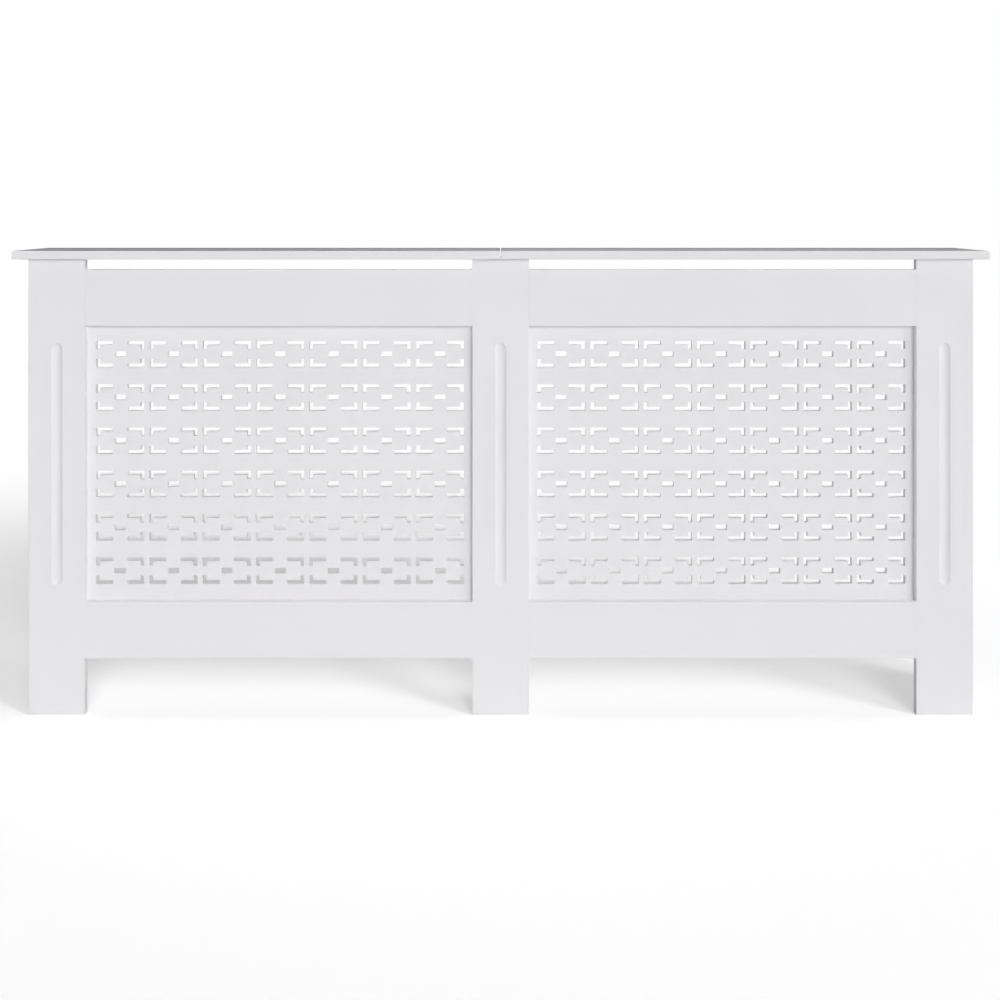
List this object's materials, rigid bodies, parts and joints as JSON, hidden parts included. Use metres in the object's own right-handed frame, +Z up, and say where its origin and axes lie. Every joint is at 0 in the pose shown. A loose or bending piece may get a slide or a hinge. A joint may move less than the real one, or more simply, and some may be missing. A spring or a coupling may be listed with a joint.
{
  "type": "radiator cover cabinet",
  "caption": "Open-backed board cabinet that covers a wall radiator: shelf top, fluted posts, rails and cut-out fretwork panels.",
  "frame": {"origin": "on the floor, under the middle of the bounding box", "axes": "+X along the wall to the right as seen from the front, +Y from the front to the wall, +Z up"},
  "size_m": [1.72, 0.19, 0.82],
  "materials": {
    "painted_board": "MDF, smooth satin white paint",
    "beech": "plain beech",
    "zinc_plated_steel": "bright zinc plate",
    "zinc_alloy": "cast, dull"
  },
  "bodies": {
    "root": {"shelf_left": "painted_board", "shelf_right": "painted_board", "post_left": "painted_board", "post_middle": "painted_board", "post_right": "painted_board", "top_rail_left": "painted_board", "top_rail_right": "painted_board", "bottom_rail_left": "painted_board", "bottom_rail_right": "painted_board", "side_panel_left": "painted_board", "side_panel_right": "painted_board", "grille_left": "painted_board", "grille_right": "painted_board", "rail_dowels": "beech", "side_dowels": "beech", "shelf_dowels": "beech", "rail_cam_bolts": "zinc_plated_steel", "side_cam_bolts": "zinc_plated_steel", "shelf_cam_bolts": "zinc_plated_steel", "rail_cams": "zinc_alloy", "side_cams": "zinc_alloy", "shelf_cams": "zinc_alloy", "grille_screws_left": "zinc_plated_steel", "grille_screws_right": "zinc_plated_steel", "joint_plate": "zinc_plated_steel", "joint_plate_screws": "zinc_plated_steel", "wall_bracket_left": "zinc_plated_steel", "wall_bracket_right": "zinc_plated_steel", "wall_bracket_screws": "zinc_plated_steel"}
  },
  "joints": []
}
